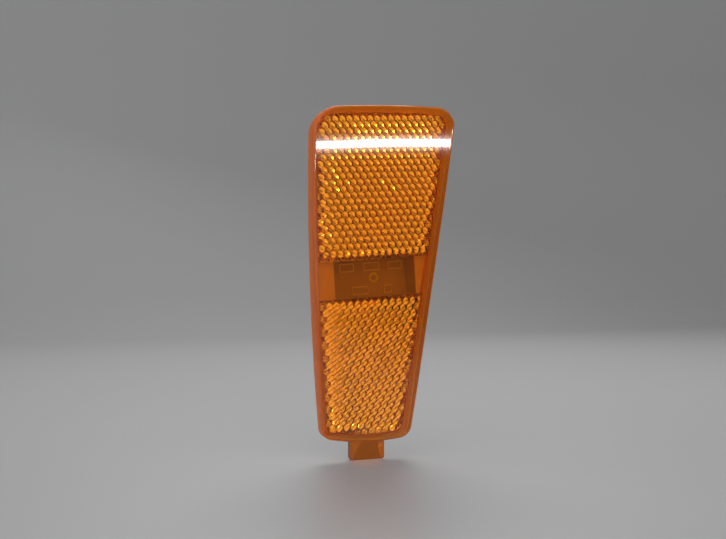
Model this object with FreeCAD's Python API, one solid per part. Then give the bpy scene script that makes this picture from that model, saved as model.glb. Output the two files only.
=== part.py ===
import FreeCAD, Part
import math
import os

from FreeCAD import Vector

# Amber reflex reflector for the front corner of a car: a moulded lens with two fields of corner-cube
# prisms on its back, closed by a welded rear cover that carries the clip and the locating pegs.
# X runs to the viewer's right, Z up along the lens, and the front looks towards -Y.
# The origin is the middle of the clip tower, in the plane of the lens skirt's rear edge, which
# seats against the bumper.

# Outline of the lens, seen from the front
top_left = (-22.0, 54.5)         # where the sides would meet without their corner radii
top_right = (28.6, 56.9)
bottom_right = (11.3, -52.3)
bottom_left = (-18.6, -51.7)
top_bow = 0.95                   # how far each side bulges past its straight line
right_bow = -0.4
bottom_bow = 1.5
left_bow = 1.5
top_left_radius = 9.5
top_right_radius = 6.0
bottom_right_radius = 4.5
bottom_left_radius = 3.5
inner_corner_radius = 0.6        # least corner radius of anything set in from the outline

# Section of the lens, as depths in front of the seat
front_depth = 7.4                # seat to the top of the crown
crown_radius = 900.0             # the front is a shallow dome
front_edge_chamfer = 0.7
web_depth = 4.3                  # seat to the back of the web that carries the prisms
rim_width = 2.4                  # solid rim above and below the prism cavity
cavity_shift = -0.8              # the cavity lies off to the left, so the right rim is the wider one
cavity_right_bow = 0.1           # its right side is all but straight
skirt_wall = 1.1                 # what is left of the rim beside the cover
ledge_depth = 1.6                # seat to the ledge that the cover is welded to

# Corner-cube prisms
prism_pitch = 2.4                # across the flats of a hexagonal cell
prism_base = 0.2                 # plain height below the lowest prism corners
prism_turn = 3.6                 # the rows climb to the right, degrees
field_margin = 0.15              # between the prisms and the rim
field_accuracy = 0.04            # of the line that bounds the prisms
smallest_facet = 0.01            # square millimetres, anything less is left off
corner_snap = 0.02               # a cut this near to a corner goes to the corner

# Plain band between the two fields, with the clip tower behind it
band_height = 12.4
band_tilt = 3.9                  # degrees
gate_place = (-1.5, 0.0)         # moulding gate mark on the back of the band
gate_ring_outer = 3.6
gate_ring_inner = 1.6
gate_ring_height = 0.7
mark_rows = [(3.8, [(-9.0, 5.0), (-0.6, 5.6), (7.6, 5.0)]), (-3.8, [(-4.8, 5.6), (4.6, 2.8)])]
mark_height = 2.8                # blank raised frames in two rows: height over the band's middle,
mark_line = 0.4                  # then the middle and the width of each frame
mark_rise = 0.3

# Hook tab under the lens
tab_centre = -3.3
tab_width = 11.9
tab_reach = 6.0                  # below the skirt
tab_thickness = 2.0
tab_depth = 1.8                  # seat to the rear face of the tab
tab_corner_radius = 1.0

# Rear cover
cover_clearance = 0.1            # round the edge, inside the skirt
weld_gap = 0.05                  # film of the weld between the ledge and the cover
cover_thickness = 1.4
tower_width = 28.0               # inside of the hollow clip tower
tower_height = 13.6
tower_wall = 1.5
tower_reach = 9.0                # seat to the tower's end
arm_width = 10.0
arm_thickness = 1.6
arm_gap = 2.2                    # between the tower and each snap arm
arm_reach = 10.0                 # seat to the end of the arm
hook_depth = 1.2
hook_length = 3.2
peg_places = [(1.9, 37.5), (-3.7, -34.5)]
peg_diameter = 5.0
peg_reach = 6.0                  # seat to the end of the peg
peg_chamfer = 0.8
rib_offset = 8.0                 # from the pegs' line to a rib, either side
rib_length = 26.0
rib_width = 1.2
rib_height = 1.2
cross_rib_spacing = 17.0         # between the two ribs that cross beside a peg

cover_front = ledge_depth - weld_gap
cover_rear = cover_front - cover_thickness


def flat(point, depth=0.0):
    """A point of the front view, so far in front of the seat."""
    return Vector(point[0], -depth, point[1])


def side_circle(start, end, bow):
    """Centre and radius of a side's arc, and 1 where it bulges outwards or -1 where it is hollow."""
    chord = Vector(end[0] - start[0], 0, end[1] - start[1])
    out = Vector(-chord.z, 0, chord.x).normalize()
    radius = (chord.Length ** 2 / 4 + bow ** 2) / (2 * abs(bow))
    way = math.copysign(1, bow)
    middle = (flat(start) + flat(end)) / 2
    return middle + out * (bow - way * radius), radius, way


def rounded_corner(first, second, corner, radius):
    """Centre of the arc that rounds the corner between two side circles."""
    (c1, r1, way1), (c2, r2, way2) = first, second
    d1 = r1 - way1 * radius
    d2 = r2 - way2 * radius
    apart = c2 - c1
    along = (d1 ** 2 - d2 ** 2 + apart.Length ** 2) / (2 * apart.Length)
    off = math.sqrt(d1 ** 2 - along ** 2)
    unit = Vector(apart).normalize()
    across = Vector(-unit.z, 0, unit.x)
    places = [c1 + unit * along + across * off, c1 + unit * along - across * off]
    return min(places, key=lambda place: (place - flat(corner)).Length)


def outline_wire(inset=0.0, right_side_bow=right_bow):
    """The outline of the lens in the seat plane, moved in all round by the inset."""
    corners = [top_left, top_right, bottom_right, bottom_left]
    radii = [top_left_radius, top_right_radius, bottom_right_radius, bottom_left_radius]
    bows = [top_bow, right_side_bow, bottom_bow, left_bow]
    circles = []
    for i in range(4):
        centre, radius, way = side_circle(corners[i], corners[(i + 1) % 4], bows[i])
        circles.append((centre, radius - way * inset, way))
    roundings = []
    for i in range(4):
        radius = max(radii[i] - inset, inner_corner_radius)
        centre = rounded_corner(circles[i - 1], circles[i], corners[i], radius)
        roundings.append((centre, radius))
    edges = []
    for i in range(4):
        centre, radius, way = circles[i]
        ends = []
        for place, _ in (roundings[i], roundings[(i + 1) % 4]):
            ends.append(centre + (place - centre).normalize() * radius)
        middle = centre + ((ends[0] + ends[1]) / 2 - centre).normalize() * radius
        edges.append(Part.Arc(ends[0], middle, ends[1]).toShape())
        place, small = roundings[(i + 1) % 4]
        next_centre, next_radius, _ = circles[(i + 1) % 4]
        turn_end = next_centre + (place - next_centre).normalize() * next_radius
        peak = place + ((ends[1] + turn_end) / 2 - place).normalize() * small
        edges.append(Part.Arc(ends[1], peak, turn_end).toShape())
    return Part.Wire(edges)


def cavity_wire(inset=0.0):
    """The wall of the prism cavity in the seat plane, or a line inside it."""
    wire = outline_wire(rim_width + inset, cavity_right_bow)
    wire.translate(Vector(cavity_shift, 0, 0))
    return wire


def slab(wire, near, far):
    """A block of the closed line between two depths in front of the seat."""
    face = Part.Face(wire)
    face.translate(Vector(0, -near, 0))
    return face.extrude(Vector(0, near - far, 0))


def along_band(shape):
    """The shape turned from level to the band's own slope."""
    return shape.rotated(Vector(0, 0, 0), Vector(0, 1, 0), -band_tilt)


def band_box(width, height, near, far):
    """A box square to the band and centred on it, between two depths in front of the seat."""
    return along_band(Part.makeBox(width, far - near, height, Vector(-width / 2, -far, -height / 2)))


def field_borders(side):
    """The lines that bound the prisms above the band (1) or below it (-1), each as a point of the
    line and the direction into the field. None of them is hollow."""
    outline = cavity_wire(field_margin).discretize(Deflection=field_accuracy)[:-1]
    middle = sum(outline, Vector()) / len(outline)
    borders = []
    for a, b in zip(outline, outline[1:] + outline[:1]):
        inward = Vector(b.z - a.z, 0, a.x - b.x).normalize()
        borders.append((a, inward if (middle - a).dot(inward) > 0 else -inward))
    tilt = math.radians(band_tilt)
    away = Vector(-math.sin(tilt), 0, math.cos(tilt)) * side
    borders.append((away * band_height / 2, away))
    return borders


def cut_point(inner, outer, share):
    """Where a line cuts an edge, or the end of the edge that is as good as there."""
    cut = inner + (outer - inner) * share
    if (cut - inner).Length < corner_snap:
        return inner
    if (cut - outer).Length < corner_snap:
        return outer
    return cut


def trimmed(facet, borders):
    """What lies of a flat facet within all the borders."""
    corners = facet
    for place, inward in borders:
        heights = [(corner - place).dot(inward) for corner in corners]
        if min(heights) >= 0:
            continue
        kept = []
        for i, corner in enumerate(corners):
            following = corners[(i + 1) % len(corners)]
            here, there = heights[i], heights[(i + 1) % len(corners)]
            if here >= 0:
                kept.append(corner)
            if here >= 0 > there:
                kept.append(cut_point(corner, following, here / (here - there)))
            elif there >= 0 > here:
                kept.append(cut_point(following, corner, there / (there - here)))
        corners = [corner for i, corner in enumerate(kept) if point_key(corner) != point_key(kept[i - 1])]
        if len(corners) < 3:
            return []
    return corners if facet_area(corners) > smallest_facet else []


def facet_area(corners):
    """Area of a flat facet."""
    twice = Vector()
    for a, b in zip(corners[1:], corners[2:]):
        twice += (a - corners[0]).cross(b - corners[0])
    return twice.Length / 2


def cube_facets(side):
    """The square facets of the corner cubes on one side of the band, above it (1) or below it (-1).

    Each hexagonal cell has its deepest corner in the middle and three facets round it.
    The cells above the band are turned half round from those below, so that the two fields
    catch light from opposite sides. What lies past the edge of the field is cut off.
    """
    step = prism_pitch / math.sqrt(6)
    ring_radius = prism_pitch / math.sqrt(3)
    turn = math.radians(prism_turn)
    first_corner = turn - side * math.pi / 2
    base = -web_depth + prism_base
    borders = field_borders(side)
    reach = max(place.Length for place, _ in borders) + prism_pitch
    count = int(2 * reach / prism_pitch)
    facets = []
    for row in range(-count, count + 1):
        for column in range(-count, count + 1):
            across = (column + row / 2) * prism_pitch
            up = row * prism_pitch * math.sqrt(3) / 2
            x = across * math.cos(turn) - up * math.sin(turn)
            z = across * math.sin(turn) + up * math.cos(turn)
            apex = Vector(x, base + 2 * step, z)
            if min((apex - place).dot(inward) for place, inward in borders) < -prism_pitch:
                continue
            ring = []
            for k in range(6):
                angle = first_corner + k * math.pi / 3
                rise = step if k % 2 == 0 else 0
                ring.append(Vector(x + ring_radius * math.cos(angle), base + rise,
                                   z + ring_radius * math.sin(angle)))
            for k in (0, 2, 4):
                facets.append(trimmed([apex, ring[k], ring[k + 1], ring[(k + 2) % 6]], borders))
    return [facet for facet in facets if facet]


def point_key(point):
    """A point rounded so that the same corner of two facets compares equal."""
    return (round(point.x, 5), round(point.y, 5), round(point.z, 5))


def free_edges(facets):
    """The facets' edges that no second facet shares, in the facets' own direction."""
    edges = {}
    for facet in facets:
        for a, b in zip(facet, facet[1:] + facet[:1]):
            edges[(point_key(a), point_key(b))] = (a, b)
    return [ends for key, ends in edges.items() if (key[1], key[0]) not in edges]


def whole_patch(facets):
    """The facets without those that hang on by a bare corner."""
    while True:
        starts = {}
        for a, b in free_edges(facets):
            starts.setdefault(point_key(a), []).append((a, b))
        pinched = {key for key, edges in starts.items() if len(edges) > 1}
        loose = {(point_key(a), point_key(b)) for a, b in free_edges(facets)}
        kept = []
        for facet in facets:
            sides = list(zip(facet, facet[1:] + facet[:1]))
            free = sum((point_key(a), point_key(b)) in loose for a, b in sides)
            at_pinch = any(point_key(corner) in pinched for corner in facet)
            if free < len(facet) and not (at_pinch and free > 1):
                kept.append(facet)
        if len(kept) == len(facets):
            return facets
        facets = kept


def polygon_face(points):
    """A flat face through the points."""
    return Part.Face(Part.makePolygon(points + points[:1]))


def boundary_wire(edges, depth):
    """The closed line under the free edges, so far in front of the seat."""
    following = {point_key(a): (a, b) for a, b in edges}
    start, here = edges[0]
    points = [start]
    while point_key(here) != point_key(start):
        points.append(here)
        here = following[point_key(here)][1]
    loop = [Vector(p.x, -depth, p.z) for p in points]
    return Part.makePolygon(loop + loop[:1])


def with_prisms(body):
    """The lens body with both prism fields raised on the back of its web."""
    web = [face for face in body.Faces if is_web(face)]
    rest = [face for face in body.Faces if not is_web(face)]
    holes = []
    for side in (1, -1):
        facets = whole_patch(cube_facets(side))
        rest += [polygon_face(facet) for facet in facets]
        edges = free_edges(facets)
        for a, b in edges:
            rest.append(polygon_face([a, b, Vector(b.x, -web_depth, b.z), Vector(a.x, -web_depth, a.z)]))
        holes.append(boundary_wire(edges, web_depth))
    pierced = max(web, key=lambda face: face.Area)
    rest += [face for face in web if not face.isSame(pierced)]
    rest += Part.makeFace(pierced.Wires + holes, "Part::FaceMakerBullseye").Faces
    shell = Part.makeShell(rest)
    shell.sewShape()
    return Part.makeSolid(shell)


def is_web(face):
    """Whether a face lies flat on the back of the web."""
    tolerance = 1e-4
    box = face.BoundBox
    return abs(box.YMin + web_depth) < tolerance and abs(box.YMax + web_depth) < tolerance


def hook_tab():
    """The tab under the lens, rooted in the lower rim."""
    skirt_bottom = outline_wire().BoundBox.ZMin
    root = skirt_bottom + rim_width / 2
    tip = skirt_bottom - tab_reach
    corner = Vector(tab_centre - tab_width / 2, -tab_depth - tab_thickness, tip)
    tab = Part.makeBox(tab_width, tab_thickness, root - tip, corner)
    lower = [edge for edge in tab.Edges
             if all(abs(v.Z - tip) < 1e-6 for v in edge.Vertexes) and edge.Length < tab_width * 0.9]
    return tab.makeFillet(tab_corner_radius, lower)


def blank_marks():
    """The raised frames on the back of the band, left empty."""
    frames = []
    for level, row in mark_rows:
        for middle, width in row:
            corner = Vector(gate_place[0] + middle - width / 2, -web_depth, level - mark_height / 2)
            inside = corner + Vector(mark_line, 0, mark_line)
            outer = Part.makeBox(width, mark_rise, mark_height, corner)
            inner = Part.makeBox(width - 2 * mark_line, mark_rise, mark_height - 2 * mark_line, inside)
            frames.append(along_band(outer.cut(inner)))
    return frames


def make_lens():
    """The amber lens: domed front, skirt, hook tab, and prisms on the back of the web."""
    block = slab(outline_wire(), 0, front_depth)
    dome = Part.makeSphere(crown_radius, Vector(0, crown_radius - front_depth, 0))
    body = block.common(dome)
    front = min(body.Faces, key=lambda face: face.CenterOfMass.y)
    body = body.makeChamfer(front_edge_chamfer, front.OuterWire.Edges)
    body = body.cut(slab(cavity_wire(), 0, web_depth))
    body = body.cut(slab(outline_wire(skirt_wall), 0, ledge_depth))
    body = body.fuse(hook_tab())
    rearwards = Vector(0, 1, 0)
    gate = flat(gate_place, web_depth)
    ring = Part.makeCylinder(gate_ring_outer / 2, gate_ring_height, gate, rearwards)
    hole = Part.makeCylinder(gate_ring_inner / 2, gate_ring_height, gate, rearwards)
    body = body.multiFuse([ring.cut(hole)] + blank_marks())
    return with_prisms(body)


def snap_arm(side):
    """One snap arm beside the tower, above it (1) or below it (-1), hooked away from it."""
    inner = tower_height / 2 + tower_wall + arm_gap
    outer = inner + arm_thickness
    profile = [(-cover_rear, inner), (arm_reach, inner), (arm_reach, outer),
               (arm_reach - hook_length, outer + hook_depth), (arm_reach - hook_length, outer),
               (-cover_rear, outer)]
    points = [Vector(-arm_width / 2, y, side * z) for y, z in profile]
    return along_band(polygon_face(points).extrude(Vector(arm_width, 0, 0)))


def locating_peg(place):
    """A round peg on the back of the cover, with a lead-in chamfer."""
    length = peg_reach + cover_rear
    peg = Part.makeCylinder(peg_diameter / 2, length, flat(place, cover_rear), Vector(0, 1, 0))
    tip = [edge for edge in peg.Edges if abs(edge.CenterOfMass.y - peg_reach) < 1e-6 and edge.Closed]
    return peg.makeChamfer(peg_chamfer, tip)


def stiffening_ribs(place):
    """The two upright ribs beside a peg and the two that cross between them."""
    ribs = []
    for side in (1, -1):
        left = place[0] + side * rib_offset - rib_width / 2
        upright = Vector(left, -cover_rear, place[1] - rib_length / 2)
        ribs.append(Part.makeBox(rib_width, rib_height, rib_length, upright))
        level = place[1] + side * cross_rib_spacing / 2 - rib_width / 2
        cross = Vector(place[0] - rib_offset, -cover_rear, level)
        ribs.append(Part.makeBox(2 * rib_offset, rib_height, rib_width, cross))
    return ribs


def make_cover():
    """The rear cover: a plate inside the skirt, with the clip tower, snap arms, pegs and ribs."""
    plate = slab(outline_wire(skirt_wall + cover_clearance), cover_rear, cover_front)
    tower = band_box(tower_width + 2 * tower_wall, tower_height + 2 * tower_wall, -tower_reach, cover_rear)
    additions = [tower, snap_arm(1), snap_arm(-1)]
    for place in peg_places:
        additions.append(locating_peg(place))
        additions += stiffening_ribs(place)
    pocket = band_box(tower_width, tower_height, tower_wall - tower_reach, cover_front)
    return plate.multiFuse(additions).cut(pocket).removeSplitter()


os.makedirs("parts", exist_ok=True)
parts = {
    "reflector_lens": make_lens(),
    "rear_cover": make_cover(),
}
for name, shape in parts.items():
    shape.exportStep("parts/" + name + ".step")
    print(name, len(shape.Solids), "solid", len(shape.Faces), "faces", shape.isValid(),
          round(shape.Volume, 1), "mm3")
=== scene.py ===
import math
from collections import namedtuple

import bmesh
import bpy
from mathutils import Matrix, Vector


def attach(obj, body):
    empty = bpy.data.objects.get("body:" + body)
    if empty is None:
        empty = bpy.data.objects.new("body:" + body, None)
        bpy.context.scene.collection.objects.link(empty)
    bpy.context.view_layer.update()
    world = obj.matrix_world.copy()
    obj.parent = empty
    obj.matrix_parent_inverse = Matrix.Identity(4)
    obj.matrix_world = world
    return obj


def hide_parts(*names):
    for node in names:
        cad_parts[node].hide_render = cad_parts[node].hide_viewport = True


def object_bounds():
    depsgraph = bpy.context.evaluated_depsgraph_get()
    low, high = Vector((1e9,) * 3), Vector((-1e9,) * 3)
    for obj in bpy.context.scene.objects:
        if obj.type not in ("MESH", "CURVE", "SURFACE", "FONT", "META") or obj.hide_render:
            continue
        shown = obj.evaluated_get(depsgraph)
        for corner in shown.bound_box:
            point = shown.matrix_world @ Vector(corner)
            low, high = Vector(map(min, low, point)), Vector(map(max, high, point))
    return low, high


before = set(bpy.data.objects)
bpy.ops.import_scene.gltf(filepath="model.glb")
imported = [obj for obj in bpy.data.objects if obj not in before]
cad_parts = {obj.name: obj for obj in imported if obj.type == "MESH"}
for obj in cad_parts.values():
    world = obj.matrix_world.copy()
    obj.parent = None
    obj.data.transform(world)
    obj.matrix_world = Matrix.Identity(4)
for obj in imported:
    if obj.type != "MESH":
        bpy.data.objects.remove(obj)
cad_box = [list(corner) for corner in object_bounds()]


# Reflector lens
# One injection moulding in clear amber acrylic, polished on the front. Its back carries two fields of
# corner-cube prisms with a plain band between them, and the skirt behind the rim takes the rear cover.

LENS_IOR = 1.49
AMBER_PER_MM = (0.988, 0.93, 0.80)
MM_PER_METRE = 1000
SCUFF_SCALE = 900.0
SCUFF_DETAIL = 6.0
DUST_SCALE = 140.0
DUST_DETAIL = 3.0
POLISH_WEAR = 0.025
FROST_ROUGHNESS = 0.55
FROST_WEAR = 0.1
FROST_GLOSS = 0.2
FROST_PASSES = 0.6

# A face's skin is the share of it that is frosted, the tint of that share, and the tint of the clear rest.
Skin = namedtuple("Skin", "frost frost_tint tint")
AMBER_TINT = (0.98, 0.57, 0.12, 1.0)
EDGE_TINT = (0.98, 0.30, 0.012, 1.0)
TAB_TINT = (0.78, 0.21, 0.004, 1.0)
INSIDE_TINT = (1.0, 0.70, 0.04, 1.0)
OUTSIDE_TINT = (1.0, 0.26, 0.003, 1.0)
POLISHED = Skin(0.0, INSIDE_TINT, AMBER_TINT)
INSIDE = Skin(0.9, INSIDE_TINT, AMBER_TINT)
REAR_EDGE = Skin(0.9, (1.0, 0.56, 0.025, 1.0), AMBER_TINT)
OUTSIDE = Skin(0.55, OUTSIDE_TINT, EDGE_TINT)
TAB = Skin(0.05, OUTSIDE_TINT, TAB_TINT)
PRISM = Skin(0.06, (0.90, 0.50, 0.02, 1.0), AMBER_TINT)
CUT_PRISM = Skin(0.45, INSIDE_TINT, AMBER_TINT)
# The ridges' flats take a pale, near-white frosted skin: a painted glint where their edges catch light.
RIDGE_PAINTED_GLINT = Skin(0.9, (1.0, 0.97, 0.60, 1.0), AMBER_TINT)
MARK = Skin(0.85, (1.0, 0.75, 0.30, 1.0), AMBER_TINT)
GATE = Skin(0.85, (0.95, 0.85, 0.10, 1.0), AMBER_TINT)
SAME_FROST = 0.001

# Where the features lie on the moulding, in metres.
FRONT_EDGE_Y = -0.0048
WEB_Y = -0.0043
REAR_EDGE_Y = -0.0002
PRISM_SPAN = (-0.0044, -0.0020)
PRISM_BASE_Y = -0.0041
TAB_TOP = -0.0532
BAND_HALF_HEIGHT = 0.0061
BAND_TILT = math.radians(3.9)
GATE_PLACE = Vector((-0.0015, 0.0, 0.0))
GATE_RADIUS = 0.0019
LENS_MIDDLE = Vector((-0.0015, 0.0, 0.0))
DOME_CENTRE = Vector((0.0, 0.8926, 0.0))
PRISM_PITCH = 0.0024
HALF_FACET_AREA = PRISM_PITCH ** 2 / 4
AREA_TOLERANCE = 0.02

# How far a face has to look forwards or backwards to count, as its normal's share along the depth.
DOME_FACING = 0.99
FRONT_FACING = 0.85
RIDGE_FACING = 0.7
BACK_FACING = 0.5
WALL_FACING = 0.1

# Roundings, and the small departures from true geometry.
MERGE_DISTANCE = 1e-6
SHARP_EDGE = math.radians(28)
ROUND_PROFILE = 0.5
BEVEL_ANGLE = (math.radians(25), math.radians(65))
FRONT_ROUNDING = 0.0003
FRONT_STEPS = 3
TAB_ROUNDING = 0.0002
TAB_STEPS = 2
RIDGE_ROUNDING = 0.00013
RIDGE_STEPS = 1
RIDGE_SLOPE = math.radians(30)
RIDGE_TOLERANCE = math.radians(12)
RIDGE_ANGLE = math.radians(60)
PRISM_STRETCH = 1.03
CROWN_ACROSS = 2.0


class Wire:
    """A shader socket that takes part in Python arithmetic."""

    def __init__(self, tree, socket):
        self.tree = tree
        self.socket = socket

    def math(self, operation, other, swap=False):
        pair = (other, self) if swap else (self, other)
        return self.tree.node("ShaderNodeMath", {"operation": operation}, {0: pair[0], 1: pair[1]})

    def __add__(self, other):
        return self.math("ADD", other)

    def __radd__(self, other):
        return self.math("ADD", other, True)

    def __mul__(self, other):
        return self.math("MULTIPLY", other)

    def __rmul__(self, other):
        return self.math("MULTIPLY", other, True)


class Finish:
    """A node tree being written: a material's, or the world's."""

    def __init__(self, owner):
        owner.use_nodes = True
        self.nodes = owner.node_tree.nodes
        self.links = owner.node_tree.links

    def fill(self, node, values):
        for key, value in values.items():
            socket = self.find(node.inputs, key)
            if isinstance(value, Wire):
                self.links.new(value.socket, socket)
            else:
                socket.default_value = value

    def find(self, sockets, key):
        if isinstance(key, int):
            return sockets[key]
        return next(socket for socket in sockets if socket.name == key and socket.enabled)

    def node(self, kind, settings=None, values=None, output=0):
        made = self.nodes.new(kind)
        for key, value in (settings or {}).items():
            if key == "stops":
                ramp = made.color_ramp.elements
                while len(ramp) < len(value):
                    ramp.new(1.0)
                for element, (place, colour) in zip(ramp, value):
                    element.position = place
                    element.color = colour
            else:
                setattr(made, key, value)
        self.fill(made, values or {})
        return Wire(self, self.find(made.outputs, output))

    def coat(self, values):
        self.fill(self.nodes["Principled BSDF"], values)


def absorption(per_mm):
    """Colour and density of a clear material that passes these shares of light for each millimetre."""
    loss = [-math.log(share) * MM_PER_METRE for share in per_mm]
    density = max(loss)
    return (*[1 - part / density for part in loss], 1.0), density


def amber_acrylic():
    material = bpy.data.materials.new("amber_acrylic")
    finish = Finish(material)
    place = finish.node("ShaderNodeTexCoord", output="Object")
    scuffs = finish.node("ShaderNodeTexNoise", {}, {
        "Vector": place, "Scale": SCUFF_SCALE, "Detail": SCUFF_DETAIL})
    dust = finish.node("ShaderNodeTexNoise", {}, {
        "Vector": place, "Scale": DUST_SCALE, "Detail": DUST_DETAIL})
    frost = finish.node("ShaderNodeAttribute", {"attribute_name": "frost"}, output="Fac")
    tint = finish.node("ShaderNodeAttribute", {"attribute_name": "tint"}, output="Color")
    frost_tint = finish.node("ShaderNodeAttribute", {"attribute_name": "frost_tint"}, output="Color")
    polish = POLISH_WEAR * scuffs + POLISH_WEAR * dust
    finish.coat({"Base Color": tint, "Transmission Weight": 1.0, "IOR": LENS_IOR, "Roughness": polish})
    clear = Wire(finish, finish.nodes["Principled BSDF"].outputs["BSDF"])
    frosted = finish.node("ShaderNodeBsdfPrincipled", {}, {
        "Base Color": frost_tint, "IOR": LENS_IOR, "Roughness": FROST_ROUGHNESS + FROST_WEAR * scuffs,
        "Specular IOR Level": FROST_GLOSS, "Transmission Weight": FROST_PASSES})
    surface = finish.node("ShaderNodeMixShader", {}, {0: frost, 1: clear, 2: frosted})
    finish.links.new(surface.socket, finish.nodes["Material Output"].inputs["Surface"])
    colour, density = absorption(AMBER_PER_MM)
    depth = finish.node("ShaderNodeVolumeAbsorption", {}, {"Color": colour, "Density": density})
    finish.links.new(depth.socket, finish.nodes["Material Output"].inputs["Volume"])
    return material


def merged_copy(node, name):
    """The node's mesh as a form with its loose triangles joined."""
    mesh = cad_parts[node].data.copy()
    mesh.name = name
    mesh.materials.clear()
    form = bmesh.new()
    form.from_mesh(mesh)
    bmesh.ops.remove_doubles(form, verts=form.verts, dist=MERGE_DISTANCE)
    return mesh, form


def placed(mesh, form):
    """An object of the finished form, smooth but for its sharp edges."""
    for face in form.faces:
        face.smooth = True
    for edge in form.edges:
        edge.smooth = len(edge.link_faces) == 2 and edge.calc_face_angle(0.0) < SHARP_EDGE
    form.to_mesh(mesh)
    form.free()
    piece = bpy.data.objects.new(mesh.name, mesh)
    bpy.context.scene.collection.objects.link(piece)
    return piece


def round_edges(form, edges, offset, steps, clamp=False):
    """Rounds the edges with a bevel of so many faces, and returns those."""
    made = bmesh.ops.bevel(form, geom=edges, offset=offset, segments=steps, profile=ROUND_PROFILE,
                           affect="EDGES", clamp_overlap=clamp)
    return made["faces"]


def front_edges(form):
    """Both edges of the bevel that runs round the front."""
    return [edge for edge in form.edges
            if all(vertex.co.y < FRONT_EDGE_Y for vertex in edge.verts)
            and BEVEL_ANGLE[0] < edge.calc_face_angle(0.0) < BEVEL_ANGLE[1]]


def tab_edges(form):
    """The free edges of the hook tab."""
    return [edge for edge in form.edges
            if all(vertex.co.z < TAB_TOP for vertex in edge.verts)
            and edge.calc_face_angle(0.0) > BEVEL_ANGLE[1]]


def is_raised(face):
    """Whether the face belongs to a prism or a mark, not to the cavity's own wall or floor."""
    depths = [vertex.co.y for vertex in face.verts]
    from_floor = abs(face.normal.y) < WALL_FACING and min(depths) < WEB_Y + MERGE_DISTANCE
    tall = max(depths) > PRISM_SPAN[1]
    return face.calc_center_median().y > WEB_Y + MERGE_DISTANCE and not (from_floor and tall)


def is_mark(face):
    """Whether a raised face belongs to a mark on the plain band."""
    middle = face.calc_center_median()
    over_band = middle.z * math.cos(BAND_TILT) - middle.x * math.sin(BAND_TILT)
    return abs(over_band) < BAND_HALF_HEIGHT


def is_inner(face):
    """Whether the face looks into the space behind the lens, or is the ledge or the rear edge."""
    middle = face.calc_center_median()
    towards_middle = face.normal.xz.dot(LENS_MIDDLE.xz - middle.xz)
    return middle.z > TAB_TOP and (face.normal.y > BACK_FACING or towards_middle > 0.0)


def raised_skin(face):
    """The skin of a prism, a mark or the gate's ring."""
    if (face.calc_center_median() - GATE_PLACE).xz.length < GATE_RADIUS:
        return GATE
    if is_mark(face):
        return MARK
    is_whole = abs(face.calc_area() / HALF_FACET_AREA - 1) < AREA_TOLERANCE
    return PRISM if is_whole else CUT_PRISM


def lens_skin(face):
    """The skin of any face of the lens, by where it lies and looks."""
    middle = face.calc_center_median()
    above_tab = middle.z > TAB_TOP
    if face.normal.y < -FRONT_FACING and middle.y < FRONT_EDGE_Y:
        return POLISHED
    if PRISM_SPAN[0] < middle.y < PRISM_SPAN[1] and above_tab and is_raised(face):
        return raised_skin(face)
    if is_inner(face):
        if middle.y < WEB_Y + MERGE_DISTANCE:
            return POLISHED
        return REAR_EDGE if middle.y > REAR_EDGE_Y else INSIDE
    return OUTSIDE if above_tab else TAB


def give_skin(form, face, skin):
    """Writes a face's skin to the attributes that the material reads."""
    layers = form.faces.layers
    face[layers.float["frost"]] = skin.frost
    face[layers.float_color["frost_tint"]] = skin.frost_tint
    face[layers.float_color["tint"]] = skin.tint


def skin_lens(form):
    """Gives every face of the lens its skin."""
    form.faces.layers.float.new("frost")
    form.faces.layers.float_color.new("tint")
    form.faces.layers.float_color.new("frost_tint")
    for face in form.faces:
        give_skin(form, face, lens_skin(face))


def ridge_edges(form):
    """The slanting edges between whole prism facets: falling in the upper field, rising in the lower."""
    frost = form.faces.layers.float["frost"]
    found = []
    for edge in form.edges:
        if edge.calc_face_angle(0.0) < RIDGE_ANGLE:
            continue
        if any(abs(face[frost] - PRISM.frost) > SAME_FROST for face in edge.link_faces):
            continue
        along = edge.verts[1].co - edge.verts[0].co
        slope = (math.atan2(along.z, along.x) + math.pi / 2) % math.pi - math.pi / 2
        in_lower_field = edge.verts[0].co.z < 0.0
        wanted = RIDGE_SLOPE if in_lower_field else -RIDGE_SLOPE
        if abs(slope - wanted) < RIDGE_TOLERANCE:
            found.append(edge)
    return found


def round_ridges_with_painted_glint(form):
    """Blunts those edges as the mould leaves them, and gives their flats a pale skin, a painted glint."""
    for face in round_edges(form, ridge_edges(form), RIDGE_ROUNDING, RIDGE_STEPS, clamp=True):
        face.normal_update()
        # The flats that face the front take the pale skin, a painted glint.
        if abs(face.normal.y) > RIDGE_FACING:
            give_skin(form, face, RIDGE_PAINTED_GLINT)


def stretch_prisms(form):
    """Stands the prisms a little deeper than true cubes, so that each facet throws light its own way."""
    for vertex in form.verts:
        if PRISM_BASE_Y - MERGE_DISTANCE < vertex.co.y < PRISM_SPAN[1]:
            vertex.co.y = PRISM_BASE_Y + PRISM_STRETCH * (vertex.co.y - PRISM_BASE_Y)


def dome_normals(mesh):
    """Gives the front its dome's normals, stronger across, so that reflections run smooth to the rim."""
    normals = [corner.vector.copy() for corner in mesh.corner_normals]
    for face in mesh.polygons:
        if face.normal.y < -DOME_FACING and face.center.y < FRONT_EDGE_Y:
            for corner in face.loop_indices:
                place = mesh.vertices[mesh.loops[corner].vertex_index].co
                away = place - DOME_CENTRE
                away.x *= CROWN_ACROSS
                normals[corner] = away.normalized()
    mesh.normals_split_custom_set(normals)


lens_mesh, lens_form = merged_copy("reflector_lens", "amber_lens")
round_edges(lens_form, front_edges(lens_form), FRONT_ROUNDING, FRONT_STEPS)
round_edges(lens_form, tab_edges(lens_form), TAB_ROUNDING, TAB_STEPS)
skin_lens(lens_form)
round_ridges_with_painted_glint(lens_form)
stretch_prisms(lens_form)
lens = placed(lens_mesh, lens_form)
dome_normals(lens.data)
lens.data.materials.append(amber_acrylic())
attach(lens, "root")
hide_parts("reflector_lens")
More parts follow.
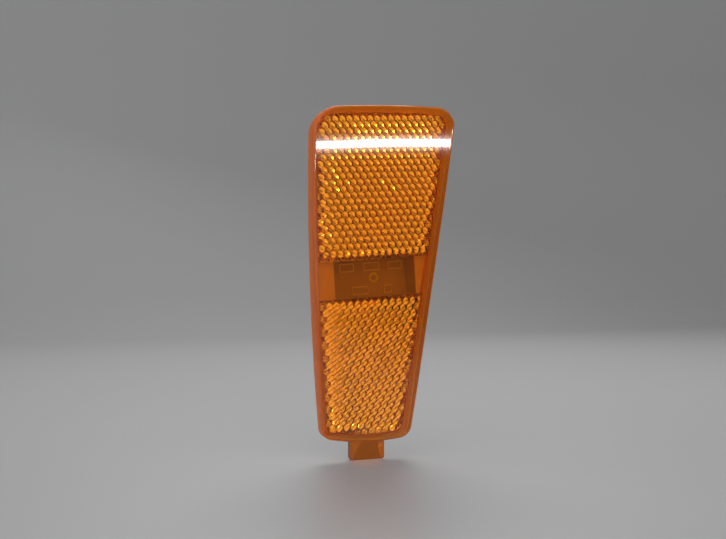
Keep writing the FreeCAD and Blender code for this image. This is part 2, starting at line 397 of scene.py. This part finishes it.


# Rear cover
# A grey moulding welded to the ledge inside the skirt. Behind its front face it is painted a darker grey,
# painted shade that makes its hollow clip tower show through the plain band as a darker rectangle.
# The snap arms, pegs and ribs stand on its back.

# The front face's pale grey, and the darker grey painted behind it as shade.
COVER_FACE = (0.92, 0.92, 0.92, 1.0)
PAINTED_SHADE_GREY = (0.62, 0.62, 0.625, 1.0)
PAINTED_SHADE_DEPTHS = (-0.0015, -0.0010)
GRAIN_SCALE = 2500.0
GRAIN_DETAIL = 2.0
GRAIN_STRENGTH = 0.15
GRAIN_DEPTH = 0.0001
FLOW_SCALE = 60.0
FLOW_DETAIL = 4.0
COVER_ROUGHNESS = 0.42
FLOW_ROUGHNESS = 0.15
COVER_CORNER = math.radians(50)
COVER_ROUNDING = 0.0002
COVER_STEPS = 2
FLATNESS = math.radians(1)


def grey_with_painted_shade():
    material = bpy.data.materials.new("grey_with_painted_shade")
    finish = Finish(material)
    place = finish.node("ShaderNodeTexCoord", output="Object")
    grain = finish.node("ShaderNodeTexNoise", {}, {
        "Vector": place, "Scale": GRAIN_SCALE, "Detail": GRAIN_DETAIL})
    flow = finish.node("ShaderNodeTexNoise", {}, {
        "Vector": place, "Scale": FLOW_SCALE, "Detail": FLOW_DETAIL})
    bump = finish.node("ShaderNodeBump", {}, {
        "Height": grain, "Strength": GRAIN_STRENGTH, "Distance": GRAIN_DEPTH})
    # Deeper than the front face, the grey darkens: painted shade for the tower's pocket and the back.
    depth = finish.node("ShaderNodeSeparateXYZ", {}, {"Vector": place}, "Y")
    into_painted_shade = finish.node("ShaderNodeMapRange", {}, {
        "Value": depth, "From Min": PAINTED_SHADE_DEPTHS[0], "From Max": PAINTED_SHADE_DEPTHS[1]})
    shade = finish.node("ShaderNodeMix", {"data_type": "RGBA"}, {
        "Factor": into_painted_shade, "A": COVER_FACE, "B": PAINTED_SHADE_GREY}, "Result")
    finish.coat({"Base Color": shade, "Roughness": COVER_ROUGHNESS + FLOW_ROUGHNESS * flow, "Normal": bump})
    return material


def corner_edges(form):
    """The edges of a moulding where two faces meet at a clear angle."""
    return [edge for edge in form.edges
            if len(edge.link_faces) == 2 and edge.calc_face_angle(0.0) > COVER_CORNER]


cover_mesh, cover_form = merged_copy("rear_cover", "moulded_cover")
bmesh.ops.dissolve_limit(cover_form, angle_limit=FLATNESS, verts=cover_form.verts, edges=cover_form.edges)
round_edges(cover_form, corner_edges(cover_form), COVER_ROUNDING, COVER_STEPS)
cover = placed(cover_mesh, cover_form)
cover_grey_painted_shade = grey_with_painted_shade()
cover.data.materials.append(cover_grey_painted_shade)
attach(cover, "root")
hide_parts("rear_cover")


# Ejector marks
# Round witness marks that the mould's ejector pins left on the back of the cover, in four pairs down its
# length. Each is a low disc of the cover's own plastic.

MARK_RADIUS = 0.0016
MARK_HEIGHT = 0.00025
MARK_SIDES = 40
COVER_BACK_Y = -0.00015
MARK_PLACES = [(-0.0135, 0.046), (0.0165, 0.047), (-0.0150, 0.018), (0.0105, 0.020),
               (-0.0140, -0.017), (0.0045, -0.016), (-0.0140, -0.0465), (0.0065, -0.0465)]


def ejector_tree():
    tree = bpy.data.node_groups.new("ejector_marks", "GeometryNodeTree")
    tree.interface.new_socket("Geometry", in_out="INPUT", socket_type="NodeSocketGeometry")
    radius = tree.interface.new_socket("Radius", in_out="INPUT", socket_type="NodeSocketFloat")
    height = tree.interface.new_socket("Height", in_out="INPUT", socket_type="NodeSocketFloat")
    plastic = tree.interface.new_socket("Plastic", in_out="INPUT", socket_type="NodeSocketMaterial")
    tree.interface.new_socket("Geometry", in_out="OUTPUT", socket_type="NodeSocketGeometry")
    given = tree.nodes.new("NodeGroupInput")
    disc = tree.nodes.new("GeometryNodeMeshCylinder")
    disc.inputs["Vertices"].default_value = MARK_SIDES
    tree.links.new(given.outputs["Radius"], disc.inputs["Radius"])
    tree.links.new(given.outputs["Height"], disc.inputs["Depth"])
    copies = tree.nodes.new("GeometryNodeInstanceOnPoints")
    copies.inputs["Rotation"].default_value = (math.pi / 2, 0.0, 0.0)
    tree.links.new(given.outputs["Geometry"], copies.inputs["Points"])
    tree.links.new(disc.outputs["Mesh"], copies.inputs["Instance"])
    real = tree.nodes.new("GeometryNodeRealizeInstances")
    tree.links.new(copies.outputs["Instances"], real.inputs["Geometry"])
    dressed = tree.nodes.new("GeometryNodeSetMaterial")
    tree.links.new(real.outputs["Geometry"], dressed.inputs["Geometry"])
    tree.links.new(given.outputs["Plastic"], dressed.inputs["Material"])
    result = tree.nodes.new("NodeGroupOutput")
    tree.links.new(dressed.outputs["Geometry"], result.inputs["Geometry"])
    return tree, {"radius": radius.identifier, "height": height.identifier, "plastic": plastic.identifier}


mark_points = bpy.data.meshes.new("ejector_points")
mark_points.from_pydata([(x, COVER_BACK_Y, z) for x, z in MARK_PLACES], [], [])
carrier = bpy.data.objects.new("ejector_points", mark_points)
bpy.context.scene.collection.objects.link(carrier)
mark_tree, mark_sockets = ejector_tree()
marking = carrier.modifiers.new("marks", "NODES")
marking.node_group = mark_tree
marking[mark_sockets["radius"]] = MARK_RADIUS
marking[mark_sockets["height"]] = MARK_HEIGHT
marking[mark_sockets["plastic"]] = cover_grey_painted_shade
marked = carrier.evaluated_get(bpy.context.evaluated_depsgraph_get())
marks = bpy.data.objects.new("ejector_marks", bpy.data.meshes.new_from_object(marked))
bpy.context.scene.collection.objects.link(marks)
bpy.data.objects.remove(carrier)
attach(marks, "root")


# Studio
# A pale floor that curves up into a backdrop, with soft light from the left and a dark right side that
# keeps haze off the lens. A tube lamp draws the bright bar across its top, and one behind lights its rim.

FLOOR_GREY = (0.44, 0.44, 0.443, 1.0)
WALL_GREY = (0.32, 0.32, 0.325, 1.0)
FLOOR_SHADE = (0.12, 0.12, 0.12, 1.0)
PAPER_ROUGHNESS = 0.4
PAPER_GLOSS = 0.6
SHADE_TO_RIGHT = (0.02, 0.12)
SHADE_TO_FRONT = (-0.10, -0.25)
FLOOR_TO_WALL = (0.1, 0.7)
STAGE_HALF_WIDTH = 2.0
STAGE_FRONT = -0.45
BACKDROP_DISTANCE = 0.9
BACKDROP_HEIGHT = 1.6
SWEEP_RADIUS = 0.35
SWEEP_STEPS = 16
KEY_DIRECTION = Vector((-0.45, -0.85, 0.28))
KEY_LEVELS = [(0.30, 0.50), (0.72, 0.78), (0.92, 1.20)]
DARK_SIDE_LEVELS = [(0.46, 1.0), (0.62, 0.12)]
TUBE_PLACE = Vector((0.25, -0.68, 0.213))
TUBE_LENGTH = 1.3
TUBE_STRIPS = 5
TUBE_WIDTH = 0.013
STRIP_STEP = 0.010
TUBE_POWER = 1.6
STRIP_FADE = 0.33
BACK_PLACE = Vector((0.15, 0.45, 0.50))
BACK_LENGTH = 0.5
BACK_WIDTH = 0.4
BACK_POWER = 2.2


def stage_profile(floor_height):
    """Depths and heights from the floor's front edge to the backdrop's top."""
    profile = [(STAGE_FRONT, floor_height)]
    centre_y = BACKDROP_DISTANCE - SWEEP_RADIUS
    centre_z = floor_height + SWEEP_RADIUS
    for step in range(SWEEP_STEPS + 1):
        angle = math.radians(-90 + 90 * step / SWEEP_STEPS)
        y = centre_y + SWEEP_RADIUS * math.cos(angle)
        z = centre_z + SWEEP_RADIUS * math.sin(angle)
        profile.append((y, z))
    profile.append((BACKDROP_DISTANCE, BACKDROP_HEIGHT))
    return profile


def backdrop_paper():
    material = bpy.data.materials.new("backdrop_paper")
    finish = Finish(material)
    place = finish.node("ShaderNodeTexCoord", output="Object")
    across = finish.node("ShaderNodeSeparateXYZ", {}, {"Vector": place}, "X")
    depth = finish.node("ShaderNodeSeparateXYZ", {}, {"Vector": place}, "Y")
    to_right = finish.node("ShaderNodeMapRange", {}, {
        "Value": across, "From Min": SHADE_TO_RIGHT[0], "From Max": SHADE_TO_RIGHT[1]})
    to_front = finish.node("ShaderNodeMapRange", {}, {
        "Value": depth, "From Min": SHADE_TO_FRONT[0], "From Max": SHADE_TO_FRONT[1]})
    to_wall = finish.node("ShaderNodeMapRange", {}, {
        "Value": depth, "From Min": FLOOR_TO_WALL[0], "From Max": FLOOR_TO_WALL[1]})
    grey = finish.node("ShaderNodeMix", {"data_type": "RGBA"}, {
        "Factor": to_wall, "A": FLOOR_GREY, "B": WALL_GREY}, "Result")
    shade = finish.node("ShaderNodeMix", {"data_type": "RGBA"}, {
        "Factor": to_right * to_front, "A": grey, "B": FLOOR_SHADE}, "Result")
    finish.coat({"Base Color": shade, "Roughness": PAPER_ROUGHNESS, "Specular IOR Level": PAPER_GLOSS})
    return material


def grey_stops(levels):
    """A ramp's stops from places and grey levels."""
    return [(place, (level, level, level, 1.0)) for place, level in levels]


def lamp_at(name, place, length, width, power):
    """A rectangular lamp that looks at the object."""
    lamp_data = bpy.data.lights.new(name, "AREA")
    lamp_data.shape = "RECTANGLE"
    lamp_data.size = length
    lamp_data.size_y = width
    lamp_data.energy = power
    lamp = bpy.data.objects.new(name, lamp_data)
    bpy.context.scene.collection.objects.link(lamp)
    lamp.location = place
    lamp.rotation_mode = "QUATERNION"
    lamp.rotation_quaternion = (-place).to_track_quat("-Z", "Y")


sweep = bmesh.new()
rows = []
for y, z in stage_profile(cad_box[0][2]):
    rows.append([sweep.verts.new((x, y, z)) for x in (-STAGE_HALF_WIDTH, STAGE_HALF_WIDTH)])
for near, far in zip(rows, rows[1:]):
    strip = sweep.faces.new((near[0], near[1], far[1], far[0]))
    strip.smooth = True
stage_mesh = bpy.data.meshes.new("backdrop")
sweep.to_mesh(stage_mesh)
sweep.free()
stage_mesh.materials.append(backdrop_paper())
backdrop = bpy.data.objects.new("backdrop", stage_mesh)
bpy.context.scene.collection.objects.link(backdrop)

world = bpy.data.worlds.new("studio")
bpy.context.scene.world = world
sky = Finish(world)
ray = sky.node("ShaderNodeTexCoord", output="Generated")
towards_key = sky.node("ShaderNodeVectorMath", {"operation": "DOT_PRODUCT"}, {
    0: ray, 1: KEY_DIRECTION}, "Value")
rightwards = sky.node("ShaderNodeSeparateXYZ", {}, {"Vector": ray}, "X")
key_light = sky.node("ShaderNodeValToRGB", {"stops": grey_stops(KEY_LEVELS)}, {
    "Fac": 0.5 * towards_key + 0.5})
dark_side = sky.node("ShaderNodeValToRGB", {"stops": grey_stops(DARK_SIDE_LEVELS)}, {
    "Fac": 0.5 * rightwards + 0.5})
sky.fill(sky.nodes["Background"], {"Color": key_light * dark_side, "Strength": 1.0})

for strip_number in range(TUBE_STRIPS):
    strip_width = TUBE_WIDTH + STRIP_STEP * strip_number
    lamp_at("tube", TUBE_PLACE, TUBE_LENGTH, strip_width, TUBE_POWER * STRIP_FADE ** strip_number)
lamp_at("back_light", BACK_PLACE, BACK_LENGTH, BACK_WIDTH, BACK_POWER)


# Camera
# It stands a little to the left of the lens, level with its middle. The shift puts the lens where it is
# in the picture's frame.

FRAME_WIDTH = 726
FRAME_HEIGHT = 539
METRES_PER_PIXEL = 0.000325
CAMERA_DISTANCE = 0.30
CAMERA_YAW = math.radians(-20)
AIM = Vector((0.0009, -0.0074, 0.0015))
AIM_PIXEL = (383, 273)
SENSOR_WIDTH = 36.0
CLIP_START = 0.01

back = Vector((math.sin(CAMERA_YAW), -math.cos(CAMERA_YAW), 0.0))
camera_data = bpy.data.cameras.new("camera")
camera = bpy.data.objects.new("camera", camera_data)
bpy.context.scene.collection.objects.link(camera)
camera.location = AIM + back * CAMERA_DISTANCE
camera.rotation_mode = "QUATERNION"
camera.rotation_quaternion = (-back).to_track_quat("-Z", "Y")
camera_data.sensor_width = SENSOR_WIDTH
camera_data.lens = SENSOR_WIDTH * CAMERA_DISTANCE / METRES_PER_PIXEL / FRAME_WIDTH
camera_data.shift_x = -(AIM_PIXEL[0] - FRAME_WIDTH / 2) / FRAME_WIDTH
camera_data.shift_y = (AIM_PIXEL[1] - FRAME_HEIGHT / 2) / FRAME_WIDTH
camera_data.clip_start = CLIP_START
bpy.context.scene.camera = camera
bpy.context.scene.view_settings.view_transform = "Standard"
